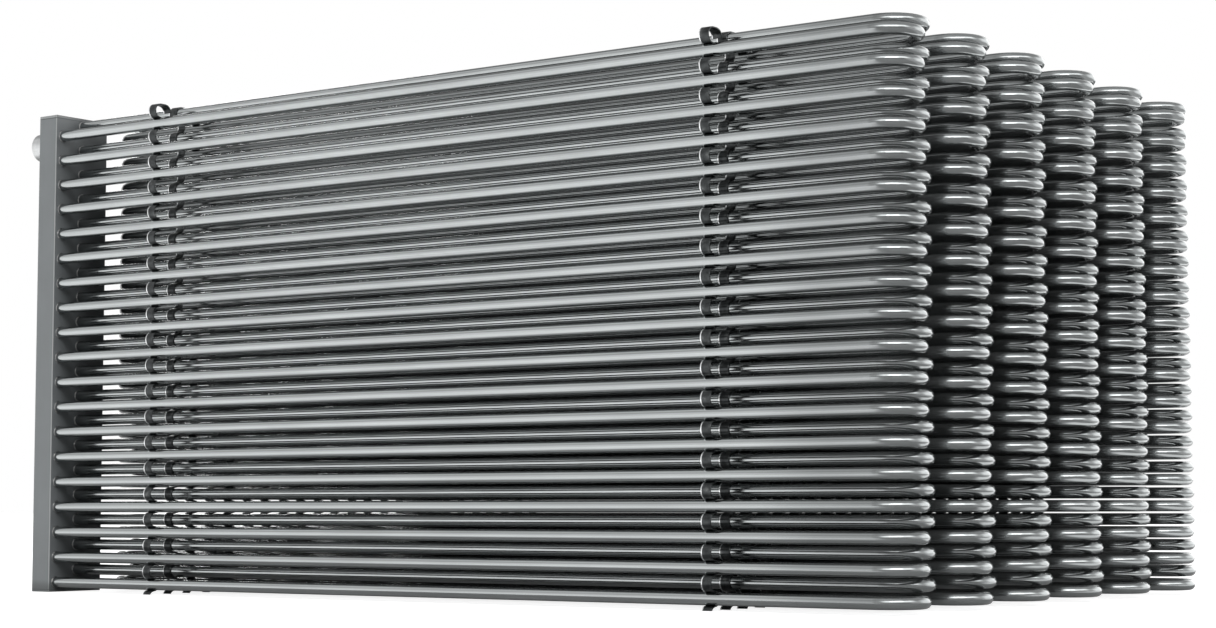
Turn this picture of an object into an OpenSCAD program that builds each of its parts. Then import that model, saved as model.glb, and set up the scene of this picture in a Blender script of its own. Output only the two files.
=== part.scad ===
// Heat exchanger coil: serpentine steel tubes in two staggered sets, stacked in horizontal
// layers between two box headers, and held apart by corrugated flat bars.
// X runs along the tubes, towards the bends that point away from the headers, and Y runs
// into the depth of the coil. The origin is at the bottom centre of the whole coil.

/* [Tubes] */
// Outside diameter of the tube
tube_d = 26.7; // [24:0.1:28]
// Wall thickness of the tube
tube_wall = 1.6; // [1.2:0.1:2.5]

/* [Circuits] */
// Number of circuits in each set, one above the other
rows = 19; // [4:1:19]
// Height from one circuit to the next in the same set
row_pitch = 63.5; // [60:0.5:80]
// Distance in depth between the straight runs of a circuit, which is twice the bend radius
pass_pitch = 134; // [120:1:160]
// Header face to the centres of the far bends of the front set
far_reach = 2378; // [1200:1:3600]
// Header face to the centres of the near bends of the front set
near_reach = 120; // [110:1:200]
// How much nearer to the headers the second set of circuits sits
set_back = 25; // [0:1:25]

/* [Headers] */
// Size of a header along the tubes
header_w = 70; // [60:1:100]
// Size of a header into the depth
header_d = 170; // [160:1:200]
// Front face of the inlet header to the axis of the first tube
header_lip = 21.5; // [18:0.5:26]
// Header top above the axis of the highest tube
header_rise = 21.75; // [20:0.25:40]
// Header bottom below the axis of the lowest tube
header_drop = 24; // [22:0.5:40]
// Thickness of the header's walls and its tube sheet
header_wall = 5; // [4:0.5:8]
// Thickness of the plates that close a header at the top and the bottom
cap_wall = 6; // [4:0.5:8]
// Outside bend radius of the header's front and rear edges
header_r = 9; // [6:0.5:12]

/* [Nozzles] */
// Outside diameter of a nozzle
nozzle_d = 73; // [60.3:0.1:88.9]
// Wall thickness of a nozzle
nozzle_wall = 5.2; // [3:0.1:6]
// Length of a nozzle outside its header
nozzle_len = 85; // [60:1:150]
// Nozzle axis below the axis of the highest tube
nozzle_drop = 42.75; // [32:0.25:90]

/* [Spacer bars] */
// Width of the flat bar, along the tubes
bar_w = 25; // [15:1:40]
// Thickness of the flat bar
bar_t = 3; // [2:0.5:4]
// Header face to the near row of bars
near_bars = 333; // [260:1:600]
// Header face to the far row of bars
far_bars = 1980; // [1000:1:2100]
// Length of the flat on top of the hook that ends a bar
hook_flat = 16; // [6:1:20]
// Radius of the turn at the rear of that hook
hook_r = 18; // [10:1:24]
// Length of the flat lip that ends the rearmost bar in place of a hook
lip_flat = 8; // [4:1:14]

/* [Hidden] */
PASSES = 12;
BAR_GROUPS = 6;
BAR_COLUMNS = 2 * PASSES;
SETS = ["a", "b"];

function two(i) = i < 10 ? str("0", i) : str(i);

ROUND = 48;      // facets of a round tube
BEND_ROUND = 96; // facets of a whole turn of a tube bend
NOZZLE_ROUND = 72;
WELD_BEVEL = 3;    // bevel at a nozzle's open end
SPIGOT_STEP = 0.5; // shoulder where a nozzle narrows to sit in its header
tube_r = tube_d / 2;
bend_r = pass_pitch / 2;

// Radii of a bar's bends at mid thickness: behind a front-set tube, and forward between two
hug_r = tube_r + bar_t / 2;
bow_r = row_pitch / 2 - hug_r;

// Depth and height of the coil measured from the first tube's axis
coil_depth = (PASSES - 1) * pass_pitch + pass_pitch / 2;
top_z = (rows - 0.5) * row_pitch;
total_x = nozzle_len + header_w + far_reach + bend_r + tube_r;
total_y = coil_depth + 2 * header_lip;

// Where the coil's own points lie in the frame of the part
face_x = -total_x / 2 + nozzle_len + header_w;
first_y = -total_y / 2 + header_lip;
first_z = header_drop;

function set_y(set) = first_y + set * pass_pitch / 2;
function row_z(set, i) = first_z + (rows - i + set / 2) * row_pitch;

// Ring section of a tube
module tube_ring() {
    difference() {
        circle(r = tube_r, $fn = ROUND);
        circle(r = tube_r - tube_wall, $fn = ROUND);
    }
}

// Straight run of tube along X between two planes
module run(x0, x1, y) {
    translate([x0, y, 0]) rotate([0, 90, 0]) linear_extrude(x1 - x0) tube_ring();
}

// Half-turn bend about a vertical axis: side is 1 for the far end and -1 for the near end
module half_turn(x, y, side) {
    translate([x, y, 0]) rotate([0, 0, -side * 90])
        rotate_extrude(angle = 180, $fn = BEND_ROUND) translate([bend_r, 0]) tube_ring();
}

// One circuit: a single tube bent back and forth in one level, with both ends at the headers
module circuit(set, i) {
    x_sheet = face_x - header_wall;
    x_near = face_x + near_reach - set * set_back;
    x_far = face_x + far_reach - set * set_back;
    color([0.66, 0.68, 0.69]) translate([0, set_y(set), row_z(set, i)]) {
        for (k = [0 : PASSES - 1]) {
            outer = k == 0 || k == PASSES - 1;
            run(outer ? x_sheet : x_near, x_far, k * pass_pitch);
        }
        for (k = [0 : 2 : PASSES - 2]) half_turn(x_far, (k + 0.5) * pass_pitch, 1);
        for (k = [1 : 2 : PASSES - 3]) half_turn(x_near, (k + 0.5) * pass_pitch, -1);
    }
}

// Moves a header's piece from the inlet at the front to the outlet at the rear
module at_end(outlet) {
    if (outlet) mirror([0, 1, 0]) translate([face_x, -total_y / 2, 0]) children();
    else translate([face_x, -total_y / 2, 0]) children();
}

// Section of the folded channel: front wall, outer wall and rear wall, open at the tube sheet
module channel_section(r_out, inset) {
    x_in = -header_wall;
    x_out = -header_w + inset;
    y0 = inset;
    y1 = header_d - inset;
    union() {
        translate([x_out, y0 + r_out]) square([x_in - x_out, y1 - y0 - 2 * r_out]);
        translate([x_out + r_out, y0]) square([x_in - x_out - r_out, y1 - y0]);
        for (y = [y0 + r_out, y1 - r_out]) translate([x_out + r_out, y]) circle(r = r_out, $fn = 48);
    }
}

// Folded channel of a header, with the hole that the nozzle's spigot sits in
module channel(outlet) {
    color([0.50, 0.52, 0.52]) at_end(outlet) difference() {
        translate([0, 0, cap_wall]) linear_extrude(header_h() - 2 * cap_wall) difference() {
            channel_section(header_r, 0);
            channel_section(header_r - header_wall, header_wall);
        }
        translate([-header_w - 1, nozzle_y(), nozzle_z()]) rotate([0, 90, 0])
            cylinder(r = nozzle_d / 2 - SPIGOT_STEP, h = header_wall + 2, $fn = NOZZLE_ROUND);
    }
}

function header_h() = header_drop + top_z + header_rise;
function nozzle_y() = header_d / 2;
function nozzle_z() = first_z + top_z - nozzle_drop;

// Flat tube sheet between the channel's legs, drilled for one end of every circuit
module tube_sheet(outlet) {
    near_set = outlet ? 1 : 0;
    color([0.52, 0.54, 0.54]) at_end(outlet) difference() {
        translate([-header_wall, 0, cap_wall]) cube([header_wall, header_d, header_h() - 2 * cap_wall]);
        for (set = [0, 1]) for (i = [1 : rows])
            translate([-header_wall - 1, header_lip + abs(set - near_set) * pass_pitch / 2, row_z(set, i)])
                rotate([0, 90, 0]) cylinder(r = tube_r, h = header_wall + 2, $fn = ROUND);
    }
}

// Plate that closes a header, with the same rounded front and rear edges as the channel
module cap(outlet, z) {
    color([0.47, 0.49, 0.49]) at_end(outlet) translate([0, 0, z]) linear_extrude(cap_wall) union() {
        channel_section(header_r, 0);
        translate([-header_wall, 0]) square([header_wall, header_d]);
    }
}

// Pipe stub whose spigot sits in the channel's outer wall, with its end bevelled for welding
module nozzle(outlet) {
    r = nozzle_d / 2;
    end = header_wall + nozzle_len;
    color([0.60, 0.62, 0.62]) at_end(outlet) translate([-header_w + header_wall, nozzle_y(), nozzle_z()])
        rotate([0, -90, 0]) rotate_extrude($fn = NOZZLE_ROUND) polygon([
            [r - nozzle_wall, 0],
            [r - SPIGOT_STEP, 0],
            [r - SPIGOT_STEP, header_wall],
            [r, header_wall],
            [r, end - WELD_BEVEL],
            [r - WELD_BEVEL, end],
            [r - nozzle_wall, end]
        ]);
}

// Half of a round band in the section plane of a bar: side 1 is the rear half, -1 the front
module half_band(r_mid, side) {
    r_out = r_mid + bar_t / 2;
    intersection() {
        difference() {
            circle(r = r_out, $fn = ROUND);
            circle(r = r_mid - bar_t / 2, $fn = ROUND);
        }
        translate([side > 0 ? 0 : -r_out, -r_out]) square([r_out, 2 * r_out]);
    }
}

// Section of a bar from the axis of the lowest front-set tube: it hugs the rear of each
// front-set tube and bows forward between them. Its upper end turns back as a hook or a lip
module bar_section(hooked) {
    crest = rows * row_pitch - hug_r;
    intersection() {
        union() {
            for (i = [0 : rows - 1]) translate([0, i * row_pitch]) {
                half_band(hug_r, 1);
                translate([0, -row_pitch / 2]) half_band(bow_r, -1);
            }
            translate([0, (rows - 0.5) * row_pitch]) half_band(bow_r, -1);
            translate([0, crest - bar_t / 2]) square([hooked ? hook_flat : lip_flat, bar_t]);
            if (hooked) translate([hook_flat, crest - hook_r]) intersection() {
                half_band(hook_r, 1);
                square(hook_r + bar_t);
            }
        }
        translate([-row_pitch, -first_z]) square([2 * row_pitch, (rows + 1) * row_pitch + first_z]);
    }
}

// Bars of one group, one for each column of tubes. All are alike: a front-set tube lies in the
// bar's rear bends and a second-set tube in its bows, where the bar is moved back to touch it
module spacers(x, group) {
    per_group = BAR_COLUMNS / BAR_GROUPS;
    color([0.34, 0.36, 0.36]) for (column = [(group - 1) * per_group : group * per_group - 1]) {
        back = column % 2 * (bow_r - hug_r);
        translate([x, first_y + column * pass_pitch / 2 + back, first_z]) rotate([90, 0, 90])
            linear_extrude(bar_w) bar_section(column < BAR_COLUMNS - 1);
    }
}

for (set = [0, 1]) for (i = [1 : rows])
    circuit(set, i);
for (outlet = [false, true]) {
    end = outlet ? "outlet_" : "inlet_";
    channel(outlet);
    tube_sheet(outlet);
    cap(outlet, header_h() - cap_wall);
    cap(outlet, 0);
    nozzle(outlet);
}
for (i = [1 : BAR_GROUPS]) {
    spacers(face_x + near_bars, i);
    spacers(face_x + far_bars, i);
}
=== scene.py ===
import math

import bpy
from mathutils import Matrix, Vector


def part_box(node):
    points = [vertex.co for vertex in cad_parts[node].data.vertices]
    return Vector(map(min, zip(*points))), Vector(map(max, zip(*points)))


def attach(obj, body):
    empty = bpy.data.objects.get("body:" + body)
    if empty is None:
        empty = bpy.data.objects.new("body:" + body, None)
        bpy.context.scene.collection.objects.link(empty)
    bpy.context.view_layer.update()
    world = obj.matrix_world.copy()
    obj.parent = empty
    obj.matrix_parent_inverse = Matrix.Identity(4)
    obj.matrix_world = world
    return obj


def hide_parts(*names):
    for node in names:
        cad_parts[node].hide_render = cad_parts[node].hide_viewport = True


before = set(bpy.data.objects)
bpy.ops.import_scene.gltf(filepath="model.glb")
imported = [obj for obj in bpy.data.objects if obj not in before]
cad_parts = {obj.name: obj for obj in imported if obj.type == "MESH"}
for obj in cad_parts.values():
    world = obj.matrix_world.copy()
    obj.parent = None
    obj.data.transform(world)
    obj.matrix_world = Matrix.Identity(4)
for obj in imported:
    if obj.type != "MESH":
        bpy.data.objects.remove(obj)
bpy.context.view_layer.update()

# Sizes of the coil, in metres, the same as in the part's source
MM = 0.001
TUBE_R = 13.35 * MM
TUBE_WALL = 1.6 * MM
ROWS = 19
ROW_PITCH = 63.5 * MM
PASS_PITCH = 134 * MM
PASSES = 12
SET_BACK = 25 * MM
NEAR_REACH = 120 * MM
FAR_REACH = 2378 * MM
SHEET_WALL = 5 * MM
CAP_WALL = 6 * MM
BAR_T = 3 * MM
BAR_W = 25 * MM
HEADER_W = 70 * MM
NOZZLE_R = 36.5 * MM

# Facets of the tubes, round the outside and the bore and along a half turn, of the bars and the welds
OUTER_SIDES = 28
OUTER_STEPS = 16
BORE_SIDES = 12
BORE_STEPS = 10
BAR_STEPS = 8
WELD_SIDES = 8
WELD_STEPS = 24
NOZZLE_WELD_STEPS = 48

# Points nearer than this are one point, and places nearer than MATCH are the same place
MERGE = 0.02 * MM
MATCH = 0.01 * MM

# Where the coil's own lines lie in the frame
top_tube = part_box("circuit_a_01")
FIRST_Y = top_tube[0].y + TUBE_R
FACE_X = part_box("inlet_tube_sheet")[1].x
FAR_BEND_X = FACE_X + FAR_REACH
HEADER_FRONT_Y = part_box("inlet_tube_sheet")[0].y
HEADER_TOP_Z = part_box("inlet_top_cap")[1].z


def circuit_name(group, i):
    return f"circuit_{group}_{i:02d}"


def node_middle_z(node):
    low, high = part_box(node)
    return (low.z + high.z) / 2


# Modelling helpers

def deselect():
    bpy.ops.object.select_all(action="DESELECT")


def start_disc(name, sides, radius, at):
    """A disc that faces along X, left open in edit mode for the tube to be drawn out of it."""
    deselect()
    bpy.ops.mesh.primitive_circle_add(
        vertices=sides, radius=radius, fill_type="NGON", location=at, rotation=(0, math.pi / 2, 0)
    )
    piece = bpy.context.active_object
    piece.name = name
    bpy.ops.object.transform_apply(location=True, rotation=True, scale=True)
    bpy.ops.object.mode_set(mode="EDIT")
    bpy.ops.mesh.select_all(action="SELECT")
    return piece


def draw_out(dx=0.0, dy=0.0):
    bpy.ops.mesh.extrude_region_move(TRANSFORM_OT_translate={"value": (dx, dy, 0)})


def turn(steps, angle, centre, axis):
    """Spins the open end about an axis, by the right-hand rule (the operator counts the other way)."""
    bpy.ops.mesh.spin(steps=steps, angle=-angle, center=centre, axis=axis)


def close_and_smooth(piece, smooth_angle=math.radians(40)):
    """Merges doubles, turns every face outwards and shades the round faces smooth."""
    bpy.ops.mesh.select_all(action="SELECT")
    bpy.ops.mesh.remove_doubles(threshold=MERGE)
    bpy.ops.mesh.normals_make_consistent(inside=False)
    bpy.ops.object.mode_set(mode="OBJECT")
    deselect()
    piece.select_set(True)
    bpy.context.view_layer.objects.active = piece
    bpy.ops.object.shade_smooth_by_angle(angle=smooth_angle)


def copy_moved(piece, name, offset):
    """A copy with its own mesh, whose place is in the mesh."""
    twin = piece.copy()
    twin.data = piece.data.copy()
    twin.name = name
    twin.data.transform(Matrix.Translation(offset))
    bpy.context.scene.collection.objects.link(twin)
    return twin


def dress(piece, slot, *nodes):
    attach(piece, "root")
    if nodes:
        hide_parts(*nodes)


# Circuits

# How far along the tube the draw lines of a circuit lie from those of the one above it
LINES_SHIFT = 1.37


def serpentine(name, sides, steps, radius, y, z, set_back):
    """The skin of one circuit, drawn out from its first end through every pass and bend."""
    x_sheet = FACE_X - SHEET_WALL
    x_near = FACE_X + NEAR_REACH - set_back
    x_far = FAR_BEND_X - set_back
    piece = start_disc(name, sides, radius, (x_sheet, y, z))
    for k in range(PASSES):
        away = k % 2 == 0
        x_from = x_sheet if k == 0 else (x_near if away else x_far)
        x_to = x_far if away else (x_sheet if k == PASSES - 1 else x_near)
        draw_out(dx=x_to - x_from)
        if k < PASSES - 1:
            centre = (x_to, y + (k + 0.5) * PASS_PITCH, z)
            turn(steps, math.pi if away else -math.pi, centre, (0, 0, 1))
    bpy.ops.mesh.select_all(action="SELECT")
    bpy.ops.mesh.remove_doubles(threshold=MERGE)
    bpy.ops.object.mode_set(mode="OBJECT")
    return piece


def remove_ends(piece):
    """Opens a tube at both of its ends."""
    bpy.context.view_layer.objects.active = piece
    bpy.ops.object.mode_set(mode="EDIT")
    bpy.ops.mesh.select_all(action="DESELECT")
    bpy.ops.object.mode_set(mode="OBJECT")
    for face in piece.data.polygons:
        face.select = len(face.vertices) > 4
    bpy.ops.object.mode_set(mode="EDIT")
    bpy.ops.mesh.select_mode(type="FACE")
    bpy.ops.mesh.delete(type="ONLY_FACE")
    bpy.ops.object.mode_set(mode="OBJECT")


def mark_draw_lines(piece, y, z, set_back):
    """Stores on every point where it lay before the tube was bent: the distance along the tube, and
    the place in its section, so that the draw lines follow the bends."""
    mesh = piece.data
    x_near = FACE_X + NEAR_REACH - set_back
    x_far = FAR_BEND_X - set_back
    run = x_far - x_near
    bend_r = PASS_PITCH / 2
    step = run + math.pi * bend_r
    places = []
    for v in mesh.vertices:
        across = v.co.y - y
        k = min(max(round(across / PASS_PITCH), 0), PASSES - 1)
        off = across - k * PASS_PITCH
        away = k % 2 == 0
        in_far_bend = v.co.x > x_far
        from_last = across - (PASSES - 1) * PASS_PITCH
        in_near_bend = v.co.x < x_near and abs(across) > bend_r and abs(from_last) > bend_r
        if in_far_bend or in_near_bend:
            # the number of the run that leads into this bend: even at the far end, odd at the near end
            odd = 0 if in_far_bend else 1
            first = 2 * math.floor((across - odd * PASS_PITCH) / (2 * PASS_PITCH)) + odd
            out = v.co.x - x_far if in_far_bend else x_near - v.co.x
            side = (first + 0.5) * PASS_PITCH - across
            along = first * step + run + bend_r * math.atan2(out, side)
            off = (bend_r - math.hypot(out, side)) * (1 if in_far_bend else -1)
            places.append((along, off, v.co.z - z))
        else:
            along = k * step + (v.co.x - x_near if away else x_far - v.co.x)
            places.append((along, off if away else -off, v.co.z - z))
    lines = mesh.attributes.new("draw_lines", "FLOAT_VECTOR", "POINT")
    lines.data.foreach_set("vector", [c for place in places for c in place])


def shift_draw_lines(piece, distance):
    """Moves the draw lines along a copied tube, so that no two tubes have the same marks."""
    lines = piece.data.attributes["draw_lines"]
    for item in lines.data:
        item.vector.x += distance


def make_circuit(name, y, z, set_back):
    """One bent tube: its outside and its bore, joined by a ring at each end."""
    outside = serpentine(name, OUTER_SIDES, OUTER_STEPS, TUBE_R, y, z, set_back)
    bore = serpentine(name + "_bore", BORE_SIDES, BORE_STEPS, TUBE_R - TUBE_WALL, y, z, set_back)
    remove_ends(outside)
    remove_ends(bore)
    deselect()
    bore.select_set(True)
    outside.select_set(True)
    bpy.context.view_layer.objects.active = outside
    bpy.ops.object.join()
    bpy.ops.object.mode_set(mode="EDIT")
    x_end = FACE_X - SHEET_WALL
    for end_y in (y, y + (PASSES - 1) * PASS_PITCH):
        bpy.ops.mesh.select_all(action="DESELECT")
        bpy.ops.object.mode_set(mode="OBJECT")
        for edge in outside.data.edges:
            ends = [outside.data.vertices[v].co for v in edge.vertices]
            edge.select = all(abs(p.x - x_end) < MATCH and abs(p.y - end_y) < 2 * TUBE_R for p in ends)
        bpy.ops.object.mode_set(mode="EDIT")
        bpy.ops.mesh.select_mode(type="EDGE")
        bpy.ops.mesh.fill(use_beauty=True)
    close_and_smooth(outside)
    mark_draw_lines(outside, y, z, set_back)
    return outside


def make_circuits(steel):
    """Both sets: the top circuit of each is modelled, and the others are copies of it lower down."""
    for group, shift, back in (("a", 0.0, 0.0), ("b", PASS_PITCH / 2, SET_BACK)):
        first = circuit_name(group, 1)
        z_first = node_middle_z(first)
        model = make_circuit(first + "_tube", FIRST_Y + shift, z_first, back)
        model.data.materials.append(steel)
        for i in range(1, ROWS + 1):
            node = circuit_name(group, i)
            drop = node_middle_z(node) - z_first
            tube = model
            if i > 1:
                tube = copy_moved(model, node + "_tube", Vector((0, 0, drop)))
                shift_draw_lines(tube, LINES_SHIFT * i)
            dress(tube, "tube", node)


# Spacer bars, whose middle line turns round a tube at HUG_R and bows out between two tubes at BOW_R

HUG_R = TUBE_R + BAR_T / 2
BOW_R = ROW_PITCH / 2 - HUG_R
# a bar of the second set stands this much off its tubes' depth, so that they lie in its bows
BACK = BOW_R - HUG_R
HOOK_FLAT = 16 * MM
HOOK_R = 18 * MM
LIP_FLAT = 8 * MM
EDGE_BEVEL = 0.5 * MM
EDGE_STRIP = 3 * MM
BARS_IN_GROUP = 4


def make_bar(name, x, y, z_low, hooked):
    """One corrugated bar, drawn up from its lowest bow by half turns to the front and rear."""
    deselect()
    start_z = z_low - ROW_PITCH / 2 - BOW_R
    bpy.ops.mesh.primitive_plane_add(size=1, location=(x, y, start_z), rotation=(math.pi / 2, 0, math.pi / 2))
    piece = bpy.context.active_object
    piece.name = name
    bpy.ops.object.transform_apply(location=True, rotation=True, scale=True)
    # the plane becomes the bar's section: X is the width and Z the thickness
    for v in piece.data.vertices:
        v.co.x = x + (BAR_W if v.co.y > y else 0)
        v.co.z = start_z + (BAR_T / 2 if v.co.z > start_z else -BAR_T / 2)
        v.co.y = y
    bpy.ops.object.mode_set(mode="EDIT")
    bpy.ops.mesh.select_all(action="SELECT")
    # a line along the left edge, coloured pale as a painted highlight
    bpy.ops.mesh.bisect(plane_co=(x + EDGE_STRIP, 0, 0), plane_no=(1, 0, 0))
    bpy.ops.mesh.select_all(action="SELECT")
    for i in range(ROWS):
        z_tube = z_low + i * ROW_PITCH
        turn(BAR_STEPS, -math.pi, (x, y, z_tube - ROW_PITCH / 2), (1, 0, 0))
        turn(BAR_STEPS, math.pi, (x, y, z_tube), (1, 0, 0))
    top_bow = z_low + (ROWS - 0.5) * ROW_PITCH
    turn(BAR_STEPS, -math.pi, (x, y, top_bow), (1, 0, 0))
    if hooked:
        draw_out(dy=HOOK_FLAT)
        turn(BAR_STEPS // 2, -math.pi / 2, (x, y + HOOK_FLAT, top_bow + BOW_R - HOOK_R), (1, 0, 0))
    else:
        draw_out(dy=LIP_FLAT)
    bpy.ops.mesh.select_all(action="SELECT")
    bpy.ops.mesh.remove_doubles(threshold=MERGE)
    bpy.ops.mesh.bisect(plane_co=(0, 0, 0), plane_no=(0, 0, 1), clear_inner=True, use_fill=True)
    bpy.ops.mesh.select_all(action="SELECT")
    bpy.ops.mesh.normals_make_consistent(inside=False)
    bpy.ops.object.mode_set(mode="OBJECT")
    bevel = piece.modifiers.new("edges", "BEVEL")
    bevel.width = EDGE_BEVEL
    bevel.segments = 1
    bevel.limit_method = "ANGLE"
    bevel.angle_limit = math.radians(60)
    bevel.material = 1
    for face in piece.data.polygons:
        face.material_index = 1 if face.center.x < x + EDGE_STRIP else 0
    bpy.context.view_layer.objects.active = piece
    bpy.ops.object.modifier_apply(modifier="edges")
    bpy.ops.object.mode_set(mode="EDIT")
    close_and_smooth(piece, math.radians(35))
    return piece


def make_bars(bar_steel, edge_steel):
    """A near and a far row: front-set tubes lie in a bar's rear bends, second-set ones in its bows."""
    z_low = node_middle_z(circuit_name("a", ROWS))
    models = {}
    for place in ("near", "far"):
        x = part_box(f"{place}_spacers_01")[0].x
        for column in range(2 * PASSES):
            hooked = column < 2 * PASSES - 1
            group = column // BARS_IN_GROUP + 1
            y = FIRST_Y + column * PASS_PITCH / 2 + (BACK if column % 2 else 0)
            name = f"{place}_bar_{column + 1:02d}"
            if hooked not in models:
                bar = make_bar(name, x, y, z_low, hooked)
                bar.data.materials.append(bar_steel)
                bar.data.materials.append(edge_steel)
                models[hooked] = (bar, x, y)
            else:
                model, x0, y0 = models[hooked]
                bar = copy_moved(model, name, Vector((x - x0, y - y0, 0)))
            dress(bar, "bar", f"{place}_spacers_{group:02d}")


# Weld beads round the tube ends and the nozzles

TUBE_WELD_R = 2.2 * MM
NOZZLE_WELD_R = 3.5 * MM


def make_weld_ring(name, at, radius, bead, steps):
    """A bead of weld round a pipe that points along X."""
    deselect()
    bpy.ops.mesh.primitive_circle_add(
        vertices=WELD_SIDES, radius=bead, fill_type="NOTHING", location=(at[0], at[1] + radius, at[2])
    )
    piece = bpy.context.active_object
    piece.name = name
    bpy.ops.object.transform_apply(location=True, rotation=True, scale=True)
    bpy.ops.object.mode_set(mode="EDIT")
    bpy.ops.mesh.select_all(action="SELECT")
    turn(steps, 2 * math.pi, at, (1, 0, 0))
    close_and_smooth(piece, math.pi)
    return piece


def make_tube_welds(weld_steel):
    """Rings of weld on both tube sheets, one for each tube end."""
    for end, front in (("inlet", True), ("outlet", False)):
        ring = None
        parts = []
        for group, shift in (("a", 0.0), ("b", PASS_PITCH / 2)):
            y = FIRST_Y + shift + (0 if front else (PASSES - 1) * PASS_PITCH)
            for i in range(1, ROWS + 1):
                z = node_middle_z(circuit_name(group, i))
                at = Vector((FACE_X, y, z))
                if ring is None:
                    ring = make_weld_ring(f"{end}_tube_welds", at, TUBE_R, TUBE_WELD_R, WELD_STEPS)
                    first = at
                else:
                    parts.append(copy_moved(ring, f"{end}_tube_weld_{group}{i}", at - first))
        deselect()
        for part in parts:
            part.select_set(True)
        ring.select_set(True)
        bpy.context.view_layer.objects.active = ring
        bpy.ops.object.join()
        ring.data.materials.append(weld_steel)
        dress(ring, "header")


def make_nozzle_welds(weld_steel):
    """A bead round each nozzle, where it enters its header."""
    for end in ("inlet", "outlet"):
        low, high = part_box(f"{end}_nozzle")
        at = Vector((FACE_X - HEADER_W, (low.y + high.y) / 2, (low.z + high.z) / 2))
        ring = make_weld_ring(f"{end}_nozzle_weld", at, NOZZLE_R, NOZZLE_WELD_R, NOZZLE_WELD_STEPS)
        ring.data.materials.append(weld_steel)
        dress(ring, "header")


# Materials

class Tree:
    """Short ways of adding nodes to one node tree."""

    def __init__(self, tree):
        self.nodes = tree.nodes
        self.links = tree.links

    def put(self, socket, value):
        if isinstance(value, bpy.types.NodeSocket):
            self.links.new(value, socket)
        else:
            socket.default_value = value

    def math(self, operation, *values):
        node = self.nodes.new("ShaderNodeMath")
        node.operation = operation
        for socket, value in zip(node.inputs, values):
            self.put(socket, value)
        return node.outputs["Value"]

    def ramp(self, value, stops):
        """Greys or colours from pairs of place (0 to 1) and value."""
        node = self.nodes.new("ShaderNodeValToRGB")
        elements = node.color_ramp.elements
        for _ in stops[2:]:
            elements.new(0.5)
        for element, (place, shade) in zip(elements, stops):
            element.position = place
            element.color = (*shade, 1) if isinstance(shade, tuple) else (shade, shade, shade, 1)
        self.put(node.inputs["Fac"], value)
        return node.outputs["Color"]

    def spread(self, value, low, high, to_low=0.0, to_high=1.0, smooth=False):
        node = self.nodes.new("ShaderNodeMapRange")
        node.interpolation_type = "SMOOTHSTEP" if smooth else "LINEAR"
        self.put(node.inputs["Value"], value)
        limits = {"From Min": low, "From Max": high, "To Min": to_low, "To Max": to_high}
        for socket, number in limits.items():
            self.put(node.inputs[socket], number)
        return node.outputs["Result"]

    def noise(self, vector, scale, detail=6.0, stretch=(1, 1, 1), roughness=0.5):
        mapping = self.nodes.new("ShaderNodeMapping")
        mapping.inputs["Scale"].default_value = stretch
        self.put(mapping.inputs["Vector"], vector)
        node = self.nodes.new("ShaderNodeTexNoise")
        self.put(node.inputs["Scale"], scale)
        node.inputs["Detail"].default_value = detail
        node.inputs["Roughness"].default_value = roughness
        self.links.new(mapping.outputs["Vector"], node.inputs["Vector"])
        return node.outputs["Fac"]

    def mix(self, factor, a, b, blend="MIX"):
        node = self.nodes.new("ShaderNodeMix")
        node.data_type = "RGBA"
        node.blend_type = blend
        self.put(node.inputs["Factor"], factor)
        for socket, value in ((node.inputs[6], a), (node.inputs[7], b)):
            self.put(socket, (*value, 1) if isinstance(value, tuple) else value)
        return node.outputs[2]

    def bump(self, height, distance, strength=1.0):
        node = self.nodes.new("ShaderNodeBump")
        node.inputs["Distance"].default_value = distance
        node.inputs["Strength"].default_value = strength
        self.put(node.inputs["Height"], height)
        return node.outputs["Normal"]

    def place(self):
        return self.nodes.new("ShaderNodeTexCoord").outputs["Object"]

    def attribute(self, name):
        node = self.nodes.new("ShaderNodeAttribute")
        node.attribute_name = name
        return node.outputs["Vector"]

    def xyz(self, vector):
        node = self.nodes.new("ShaderNodeSeparateXYZ")
        self.put(node.inputs["Vector"], vector)
        return node.outputs["X"], node.outputs["Y"], node.outputs["Z"]

    def use(self, group, **values):
        node = self.nodes.new("ShaderNodeGroup")
        node.node_tree = group
        for name, value in values.items():
            self.put(node.inputs[name.replace("_", " ")], value)
        return node.outputs


def new_material(name):
    material = bpy.data.materials.new(name)
    material.use_nodes = True
    return material, Tree(material.node_tree), material.node_tree.nodes["Principled BSDF"]


def new_group(name, takes, gives):
    """A node group from rows of input name, kind and value, and of output name and kind."""
    group = bpy.data.node_groups.new(name, "ShaderNodeTree")
    for label, kind, value in takes:
        socket = group.interface.new_socket(name=label, in_out="INPUT", socket_type=kind)
        if value is not None:
            socket.default_value = value
    for label, kind in gives:
        group.interface.new_socket(name=label, in_out="OUTPUT", socket_type=kind)
    return group, Tree(group), group.nodes.new("NodeGroupInput"), group.nodes.new("NodeGroupOutput")


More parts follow.
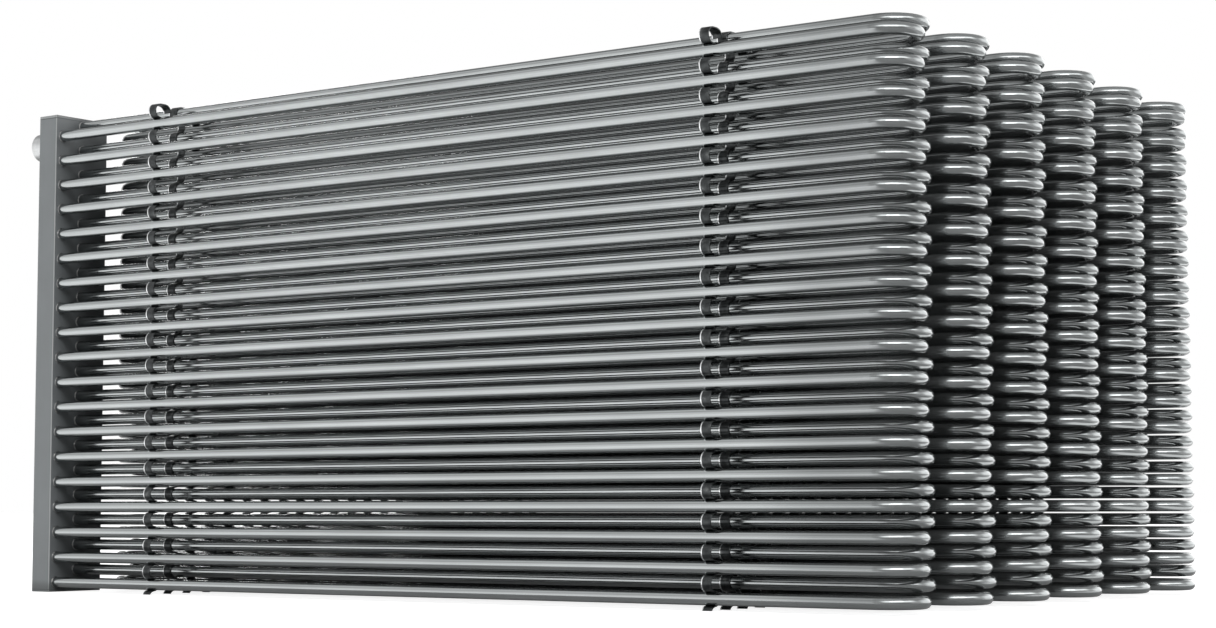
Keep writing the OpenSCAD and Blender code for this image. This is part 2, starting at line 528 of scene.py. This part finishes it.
def draw_lines_group():
    """Fine lines along drawn or rolled metal, with a few deeper scratches and rubbed patches."""
    group, tree, takes, gives = new_group(
        "draw_lines",
        [("Vector", "NodeSocketVector", None), ("Fineness", "NodeSocketFloat", 60.0)],
        [("Lines", "NodeSocketFloat"), ("Scratches", "NodeSocketFloat"), ("Patches", "NodeSocketFloat"),
         ("Height", "NodeSocketFloat")],
    )
    vector = takes.outputs["Vector"]
    lines = tree.noise(vector, takes.outputs["Fineness"], 5, (0.02, 6, 6), 0.6)
    scratch_noise = tree.noise(vector, takes.outputs["Fineness"], 3, (0.3, 14, 14), 0.7)
    scratches = tree.spread(scratch_noise, 0.66, 0.74, smooth=True)
    patches = tree.noise(vector, 7.0, 4, (0.6, 4, 4), 0.55)
    height = tree.math("SUBTRACT", lines, tree.math("MULTIPLY", scratches, 0.6))
    tree.links.new(lines, gives.inputs["Lines"])
    tree.links.new(scratches, gives.inputs["Scratches"])
    tree.links.new(patches, gives.inputs["Patches"])
    tree.links.new(height, gives.inputs["Height"])
    return group


def speckle_group():
    """Blotches, fine grain and small pits of scale, paint or weld metal."""
    group, tree, takes, gives = new_group(
        "speckle",
        [("Vector", "NodeSocketVector", None), ("Blotch Scale", "NodeSocketFloat", 12.0),
         ("Grain Scale", "NodeSocketFloat", 400.0)],
        [("Blotches", "NodeSocketFloat"), ("Grain", "NodeSocketFloat"), ("Pits", "NodeSocketFloat"),
         ("Height", "NodeSocketFloat")],
    )
    vector = takes.outputs["Vector"]
    blotches = tree.noise(vector, takes.outputs["Blotch Scale"], 7)
    grain = tree.noise(vector, takes.outputs["Grain Scale"], 3)
    pit_noise = tree.noise(vector, tree.math("MULTIPLY", takes.outputs["Grain Scale"], 0.45), 2)
    pits = tree.spread(pit_noise, 0.68, 0.76, smooth=True)
    height = tree.math("SUBTRACT", grain, pits)
    tree.links.new(blotches, gives.inputs["Blotches"])
    tree.links.new(grain, gives.inputs["Grain"])
    tree.links.new(pits, gives.inputs["Pits"])
    tree.links.new(height, gives.inputs["Height"])
    return group


def far_bends_mask(tree):
    """1 on the far bends and the straight ends next to them, 0 on the rest of the tubes."""
    x = tree.xyz(tree.place())[0]
    return tree.spread(x, FAR_BEND_X - 300 * MM, FAR_BEND_X - 90 * MM, smooth=True)


def painted_light_runs_mask(tree, at_bends):
    """1 on the runs and bends that show on the outside of the bundle, 0 on those inside it; the steel is
    coloured lighter where it is 1, as painted light, and darker where it is 0, as painted shade.
    """
    _, y, z = tree.xyz(tree.place())
    # the outermost run of each set counts as outside
    depth = tree.math("SUBTRACT", -FIRST_Y + TUBE_R, tree.math("ABSOLUTE", y))
    last_out = PASS_PITCH / 2 + 2.2 * TUBE_R
    first_in = PASS_PITCH / 2 + 3.6 * TUBE_R
    at_sides = tree.spread(depth, last_out, first_in, 1.0, 0.0, True)
    top_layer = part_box("circuit_b_01")[0].z
    at_top = tree.spread(z, top_layer - 12 * MM, top_layer, smooth=True)
    return tree.math("MAXIMUM", tree.math("MAXIMUM", at_sides, at_bends), at_top)


def tube_steel_material(draw_lines):
    """Drawn steel tube, with painted light and shade: coloured lighter outside the bundle and on its top,
    darker inside it, and darker again on the far bends.
    """
    material, tree, bsdf = new_material("drawn_tube_steel")
    at_bends = far_bends_mask(tree)
    tree.links.new(tree.spread(at_bends, 0, 1, 1.0, 0.89), bsdf.inputs["Metallic"])
    marks = tree.use(draw_lines, Vector=tree.attribute("draw_lines"), Fineness=60.0)
    # painted light and shade: runs outside the bundle and on its top get the lighter steel, runs inside it
    # the darker steel, where the bundle shades them
    bright = tree.ramp(marks["Lines"], [(0.3, (0.352, 0.368, 0.37)), (0.7, (0.411, 0.43, 0.432))])
    shaded_steel = tree.ramp(marks["Lines"], [(0.3, (0.2, 0.211, 0.212)), (0.7, (0.248, 0.26, 0.261))])
    steel = tree.mix(painted_light_runs_mask(tree, at_bends), shaded_steel, bright)
    # painted shade: the far bends and the straight ends next to them are coloured darker, and their Metallic
    # is lowered a little
    steel = tree.mix(tree.math("MULTIPLY", at_bends, 0.45), steel, (0.2, 0.211, 0.212))
    rubbed = tree.spread(marks["Patches"], 0.35, 0.7, 0.93, 1.05)
    steel = tree.mix(1.0, steel, rubbed, "MULTIPLY")
    steel = tree.mix(tree.math("MULTIPLY", marks["Scratches"], 0.2), steel, (0.5, 0.51, 0.52))
    tree.links.new(steel, bsdf.inputs["Base Color"])
    gloss = tree.spread(marks["Lines"], 0.25, 0.75, 0.125, 0.165)
    gloss = tree.math("ADD", gloss, tree.spread(marks["Patches"], 0.4, 0.8, 0.0, 0.04))
    tree.links.new(gloss, bsdf.inputs["Roughness"])
    tree.links.new(tree.bump(marks["Height"], 0.01 * MM, 0.5), bsdf.inputs["Normal"])
    return material


def header_paint_material(speckle):
    """Satin grey enamel on plate: paler on the plates' rims as a painted highlight, dark in their joints,
    darker low down, and with painted shade on the tube sheet's face.
    """
    material, tree, bsdf = new_material("grey_header_paint")
    place = tree.place()
    x, y, z = tree.xyz(place)
    marks = tree.use(speckle, Vector=place, Blotch_Scale=9.0, Grain_Scale=500.0)
    paint = tree.ramp(marks["Blotches"], [(0.3, (0.18, 0.194, 0.2)), (0.7, (0.213, 0.229, 0.236))])
    side = tree.math("ABSOLUTE", y)
    # painted highlight: the tube sheet's outer edge and the top cap are coloured paler
    flank_out = tree.spread(side, -HEADER_FRONT_Y - 0.6 * MM, -HEADER_FRONT_Y - 0.2 * MM)
    sheet_back = FACE_X - SHEET_WALL
    on_sheet_edge = tree.spread(x, sheet_back, sheet_back + 0.3 * MM)
    sheet_rim = tree.math("MULTIPLY", flank_out, on_sheet_edge)
    cap_joint_z = HEADER_TOP_Z - CAP_WALL
    cap_rim = tree.spread(z, cap_joint_z, cap_joint_z + 0.3 * MM)
    painted_highlight_rims = tree.math("MAXIMUM", sheet_rim, cap_rim)
    paint = tree.mix(tree.math("MULTIPLY", painted_highlight_rims, 0.75), paint, (0.36, 0.375, 0.375))
    from_cap = tree.math("ABSOLUTE", tree.math("SUBTRACT", z, cap_joint_z - 1.2 * MM))
    from_foot = tree.math("ABSOLUTE", tree.math("SUBTRACT", z, CAP_WALL))
    joint = tree.spread(tree.math("MINIMUM", from_cap, from_foot), 0.9 * MM, 1.6 * MM, 1.0, 0.0)
    from_sheet = tree.math("ABSOLUTE", tree.math("SUBTRACT", x, sheet_back - 0.8 * MM))
    joint = tree.math("MAXIMUM", joint, tree.spread(from_sheet, 0.5 * MM, 1.0 * MM, 0.5, 0.0))
    paint = tree.mix(tree.math("MULTIPLY", joint, 0.7), paint, (0.05, 0.055, 0.055))
    # painted shade: the tube sheet's face is coloured dark, and darker towards the middle of the coil
    on_sheet = tree.spread(x, FACE_X - 0.3 * MM, FACE_X - 0.1 * MM)
    painted_shade_inwards = tree.spread(side, -HEADER_FRONT_Y - 25 * MM, -HEADER_FRONT_Y - 95 * MM, 0.45, 0.85, True)
    paint = tree.mix(tree.math("MULTIPLY", on_sheet, painted_shade_inwards), paint, (0.045, 0.049, 0.051))
    # darker towards the bottom, over the lowest 22 mm, with a ragged upper edge
    low_darkening_noise = tree.math("MULTIPLY", marks["Blotches"], 22 * MM)
    low_darkening = tree.spread(tree.math("SUBTRACT", z, low_darkening_noise), 0.0, 22 * MM, 1.0, 0.0, smooth=True)
    paint = tree.mix(tree.math("MULTIPLY", low_darkening, 0.6), paint, (0.07, 0.075, 0.075))
    paint = tree.mix(tree.math("MULTIPLY", marks["Pits"], 0.25), paint, (0.13, 0.135, 0.135))
    tree.links.new(paint, bsdf.inputs["Base Color"])
    tree.links.new(tree.spread(marks["Blotches"], 0.3, 0.7, 0.42, 0.55), bsdf.inputs["Roughness"])
    tree.links.new(tree.bump(marks["Height"], 0.05 * MM, 0.6), bsdf.inputs["Normal"])
    return material


def stub_steel_material(speckle):
    """Turned pipe stub: fine rings round the pipe and a light tarnish."""
    material, tree, bsdf = new_material("turned_stub_steel")
    bsdf.inputs["Metallic"].default_value = 1.0
    place = tree.place()
    marks = tree.use(speckle, Vector=place, Blotch_Scale=30.0, Grain_Scale=300.0)
    rings = tree.noise(place, 1.0, 3, (900, 4, 4), 0.6)
    steel = tree.ramp(rings, [(0.3, (0.45, 0.46, 0.465)), (0.7, (0.6, 0.61, 0.615))])
    steel = tree.mix(tree.spread(marks["Blotches"], 0.5, 0.75, 0.0, 0.5), steel, (0.3, 0.3, 0.29))
    tree.links.new(steel, bsdf.inputs["Base Color"])
    tree.links.new(tree.spread(rings, 0.3, 0.7, 0.28, 0.4), bsdf.inputs["Roughness"])
    tree.links.new(tree.bump(rings, 0.02 * MM, 0.6), bsdf.inputs["Normal"])
    return material


def weld_metal_material(speckle):
    """Weld beads: ripples, heat tint and grains of spatter."""
    material, tree, bsdf = new_material("weld_metal")
    bsdf.inputs["Metallic"].default_value = 1.0
    marks = tree.use(speckle, Vector=tree.place(), Blotch_Scale=120.0, Grain_Scale=900.0)
    tints = [(0.35, (0.13, 0.13, 0.135)), (0.55, (0.26, 0.26, 0.26)), (0.7, (0.34, 0.33, 0.31))]
    weld = tree.ramp(marks["Blotches"], tints)
    tree.links.new(weld, bsdf.inputs["Base Color"])
    tree.links.new(tree.spread(marks["Grain"], 0.3, 0.7, 0.35, 0.55), bsdf.inputs["Roughness"])
    tree.links.new(tree.bump(marks["Height"], 0.15 * MM, 0.8), bsdf.inputs["Normal"])
    return material


def bar_scale_material(speckle):
    """Flat bar with its dark mill scale, scuffed grey in places."""
    material, tree, bsdf = new_material("bar_mill_scale")
    bsdf.inputs["Metallic"].default_value = 1.0
    marks = tree.use(speckle, Vector=tree.place(), Blotch_Scale=70.0, Grain_Scale=900.0)
    tints = [(0.3, (0.03, 0.032, 0.033)), (0.6, (0.06, 0.064, 0.065)), (0.75, (0.14, 0.145, 0.145))]
    scale = tree.ramp(marks["Blotches"], tints)
    scale = tree.mix(tree.math("MULTIPLY", marks["Pits"], 0.5), scale, (0.02, 0.02, 0.02))
    tree.links.new(scale, bsdf.inputs["Base Color"])
    tree.links.new(tree.spread(marks["Grain"], 0.3, 0.7, 0.24, 0.4), bsdf.inputs["Roughness"])
    tree.links.new(tree.bump(marks["Height"], 0.05 * MM, 0.7), bsdf.inputs["Normal"])
    return material


def bar_edge_material(draw_lines):
    """Edge of the flat bar: its bevels rubbed bright by the rolls and by handling, and a strip along its left
    edge coloured pale as a painted highlight.
    """
    material, tree, bsdf = new_material("bar_rubbed_edge_and_highlight")
    bsdf.inputs["Metallic"].default_value = 1.0
    marks = tree.use(draw_lines, Vector=tree.place(), Fineness=90.0)
    edge = tree.ramp(marks["Patches"], [(0.35, (0.6, 0.61, 0.615)), (0.65, (0.8, 0.81, 0.815))])
    edge = tree.mix(tree.math("MULTIPLY", marks["Scratches"], 0.4), edge, (0.2, 0.2, 0.2))
    tree.links.new(edge, bsdf.inputs["Base Color"])
    tree.links.new(tree.spread(marks["Lines"], 0.3, 0.7, 0.2, 0.34), bsdf.inputs["Roughness"])
    tree.links.new(tree.bump(marks["Height"], 0.03 * MM, 0.6), bsdf.inputs["Normal"])
    return material


draw_lines = draw_lines_group()
speckle = speckle_group()
tube_steel = tube_steel_material(draw_lines)
header_paint = header_paint_material(speckle)
stub_steel = stub_steel_material(speckle)
weld_metal = weld_metal_material(speckle)
bar_scale = bar_scale_material(speckle)
bar_edge = bar_edge_material(draw_lines)

make_circuits(tube_steel)
make_bars(bar_scale, bar_edge)
make_tube_welds(weld_metal)
make_nozzle_welds(weld_metal)


def recoat(node, material):
    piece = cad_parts[node]
    for slot in piece.material_slots:
        slot.material = material


for end in ("inlet", "outlet"):
    for part in ("channel", "tube_sheet", "top_cap", "bottom_cap"):
        recoat(f"{end}_{part}", header_paint)
    recoat(f"{end}_nozzle", stub_steel)


# Camera, as the photograph's rows of tubes and bends give it

# The camera stands this far from the front far bend of the lowest circuit, in metres
CAMERA_FROM_BEND = Vector((2.372, -4.1744, 0.1899))
# Its tilt up from level, its roll and its turn to the left of the depth axis, in degrees
CAMERA_TILT, CAMERA_ROLL, CAMERA_TURN = 4.563, 0.06, 35.867


def photo_camera():
    data = bpy.data.cameras.new("camera")
    data.lens = 71.44
    data.sensor_width = 36
    data.clip_end = 200
    camera = bpy.data.objects.new("camera", data)
    lowest_z = node_middle_z(circuit_name("a", ROWS))
    camera.location = Vector((FAR_BEND_X, FIRST_Y, lowest_z)) + CAMERA_FROM_BEND
    camera.rotation_euler = [math.radians(a) for a in (90 + CAMERA_TILT, CAMERA_ROLL, CAMERA_TURN)]
    bpy.context.scene.collection.objects.link(camera)
    bpy.context.scene.camera = camera


# Studio

# The parts of the floor that are bright in reflections: between which places, in metres, each one
# comes or goes, and how bright it is, where 1 is white
FRONT_FLOOR_Y = (-1.25, -0.9)
FRONT_FLOOR_X = (0.7, 1.6)
FRONT_FLOOR_SHINE = 1.15
SIDE_FLOOR_STARTS_X = (1.33, 1.45)
SIDE_FLOOR_ENDS_X = (1.75, 1.95)
SIDE_FLOOR_Y = (-0.4, -0.2)
SIDE_FLOOR_SHINE = 1.4
REAR_FLOOR_Y = (0.95, 1.3)
REAR_FLOOR_SHINE = 0.4
# What the floor adds to its own light for the camera alone, which makes it white
SEEN_FLOOR_SHINE = 0.85


def white_floor():
    """A pale floor that the camera sees as white, apart from the coil's soft shadow. In reflections
    it is bright in front of the coil, beside its bends and behind it, and dark elsewhere."""
    deselect()
    bpy.ops.mesh.primitive_plane_add(size=120, location=(0, 0, -0.5 * MM))
    floor = bpy.context.active_object
    floor.name = "studio_floor"
    material, tree, bsdf = new_material("floor_white")
    bsdf.inputs["Base Color"].default_value = (0.42, 0.42, 0.42, 1)
    bsdf.inputs["Roughness"].default_value = 0.9
    bsdf.inputs["Emission Color"].default_value = (1, 1, 1, 1)
    x, y, _ = tree.xyz(tree.place())
    in_front = tree.spread(y, *FRONT_FLOOR_Y, FRONT_FLOOR_SHINE, 0.0, True)
    in_front = tree.math("MULTIPLY", in_front, tree.spread(x, *FRONT_FLOOR_X, 1.0, 0.0, True))
    beside = tree.spread(x, *SIDE_FLOOR_STARTS_X, 0.0, SIDE_FLOOR_SHINE, True)
    beside = tree.math("MULTIPLY", beside, tree.spread(x, *SIDE_FLOOR_ENDS_X, 1.0, 0.0, True))
    beside = tree.math("MULTIPLY", beside, tree.spread(y, *SIDE_FLOOR_Y, 0.0, 1.0, True))
    behind = tree.spread(y, *REAR_FLOOR_Y, 0.0, REAR_FLOOR_SHINE, True)
    lit = tree.math("ADD", tree.math("ADD", in_front, beside), behind)
    path = tree.nodes.new("ShaderNodeLightPath")
    mirrored = tree.math("MULTIPLY", lit, path.outputs["Is Glossy Ray"])
    seen = tree.math("MULTIPLY", path.outputs["Is Camera Ray"], SEEN_FLOOR_SHINE)
    tree.links.new(tree.math("ADD", mirrored, seen), bsdf.inputs["Emission Strength"])
    floor.data.materials.append(material)


def softbox(name, at, aim, size_x, size_y, power):
    """A soft rectangular lamp that the camera doesn't see, aimed at a point."""
    data = bpy.data.lights.new(name, "AREA")
    data.shape = "RECTANGLE"
    data.size = size_x
    data.size_y = size_y
    data.energy = power
    lamp = bpy.data.objects.new(name, data)
    lamp.location = at
    lamp.rotation_euler = (Vector(aim) - Vector(at)).to_track_quat("-Z", "Y").to_euler()
    lamp.visible_camera = False
    bpy.context.scene.collection.objects.link(lamp)


# The room that the steel mirrors. Angles are in degrees and values are brightness, where 1 is white.
# The front wall, by the angle up from the front horizon, and by direction along the coil
WALL = [(0, 1.4), (12, 1.4), (22, 1.32), (31, 1.08), (42, 0.82), (55, 0.82), (68, 1.15), (78, 0.85),
        (90, 0.35), (112, 0.35), (130, 0.3), (150, 0.12), (180, 0.04)]
WALL_SIDES = [(-1, 0.7), (-0.76, 1), (-0.47, 1), (-0.3, 0.4), (0, 0.22), (1, 0.15)]
# A long light over the bends' side, by height and by compass angle from the front
STRIP_HEIGHT = [(0.28, 0), (0.4, 2.8), (0.6, 2.8), (0.72, 0)]
STRIP_ANGLES = [(-5, 0), (12, 1), (92, 1), (112, 0)]
# The pale backdrop behind the coil, brightest behind the bends, by height and by compass angle
# from the back
BACKDROP_HEIGHT = [(0.34, 2.0), (0.6, 0)]
BACKDROP_ANGLES = [(-104, 0), (-90, 0.5), (-66, 0.5), (-54, 0), (-22, 0), (-12, 1), (44, 1), (60, 0.35),
                   (84, 0.3), (96, 0)]
# A grey ceiling over the bends' side, by height and by direction along the coil
CEILING = [(0.1, 0.15), (0.45, 0.5), (1, 0.5)]
CEILING_SIDES = [(-0.4, 0), (-0.1, 1)]


def studio_world():
    """White behind the coil, and a procedural room that only reflections and soft light come from."""
    world = bpy.data.worlds.new("studio")
    bpy.context.scene.world = world
    world.use_nodes = True
    tree = Tree(world.node_tree)

    def profile(value, low, high, stops):
        """Brightness over a range of heights, directions or angles, from pairs of place and value."""
        return tree.ramp(tree.spread(value, low, high), [((p - low) / (high - low), v) for p, v in stops])

    x, y, z = tree.xyz(tree.nodes.new("ShaderNodeTexCoord").outputs["Generated"])
    forward = tree.math("MULTIPLY", y, -1)
    pitch = tree.math("DEGREES", tree.math("ARCTAN2", z, forward))
    from_front = tree.math("DEGREES", tree.math("ARCTAN2", x, forward))
    from_back = tree.math("DEGREES", tree.math("ARCTAN2", x, y))
    parts = (
        (profile(pitch, 0, 180, WALL), profile(x, -1, 1, WALL_SIDES)),
        (profile(z, -1, 1, STRIP_HEIGHT), profile(from_front, -180, 180, STRIP_ANGLES)),
        (profile(z, -1, 1, BACKDROP_HEIGHT), profile(from_back, -180, 180, BACKDROP_ANGLES)),
        (profile(z, -1, 1, CEILING), profile(x, -1, 1, CEILING_SIDES)),
    )
    room = 0.0
    for a, b in parts:
        room = tree.math("ADD", room, tree.math("MULTIPLY", a, b))
    path = tree.nodes.new("ShaderNodeLightPath")
    shade = tree.mix(path.outputs["Is Camera Ray"], room, (1, 1, 1))
    tree.links.new(shade, tree.nodes["Background"].inputs["Color"])


photo_camera()
white_floor()
studio_world()
softbox("bend_box", (4.3, -3.6, 3.1), (1.0, -0.7, 0.6), 3.0, 1.0, 50)
softbox("rear_box", (-4.6, 3.4, 2.6), (-1.0, 0.6, 0.6), 1.6, 1.6, 60)

view = bpy.context.scene.view_settings
view.view_transform = "Standard"
